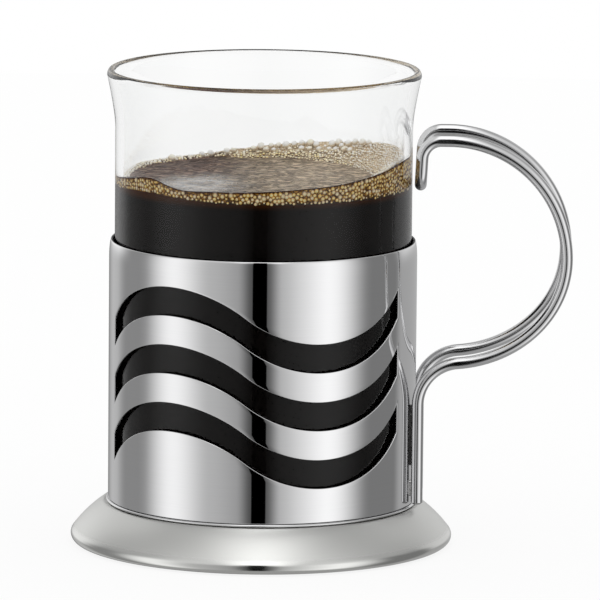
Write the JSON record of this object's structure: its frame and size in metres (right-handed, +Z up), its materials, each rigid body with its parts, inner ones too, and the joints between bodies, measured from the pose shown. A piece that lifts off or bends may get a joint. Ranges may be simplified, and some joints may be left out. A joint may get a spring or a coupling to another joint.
{
  "type": "glass cup in a metal holder",
  "caption": "Clear drinking glass with a flared rim, standing loose in a polished steel holder with wave slots, a flared base and a looped wire handle.",
  "frame": {"origin": "centre of the foot's flat underside, on the axis of the cup, on the table", "axes": "+Z up along the axis of the cup, +X towards the handle, so that the panel of slots towards -Y is the one in the picture"},
  "size_m": [0.1263, 0.0966, 0.1207],
  "materials": {
    "clear_glass": "clear, thin-walled, fire-polished rim",
    "polished_steel": "mirror-polished stainless sheet",
    "satin_steel": "satin stainless pressing",
    "wire_steel": "polished stainless wire",
    "weld_steel": "small dull weld",
    "pad_silicone": "matt translucent silicone",
    "foot_plastic": "fine matt moulding"
  },
  "bodies": {
    "holder": {"pierced_sleeve": "polished_steel", "base_dish": "satin_steel", "handle_wire": "wire_steel", "weld_front_lower": "weld_steel", "weld_front_upper": "weld_steel", "weld_rear_lower": "weld_steel", "weld_rear_upper": "weld_steel", "seat_pad": "pad_silicone", "foot_insert": "foot_plastic"},
    "glass": {"glass_beaker": "clear_glass"}
  },
  "joints": [
    {"name": "glass_lift", "type": "slide", "parent": "holder", "child": "glass", "axis": [0, 0, 1], "range_m": [0, 0.1]}
  ]
}
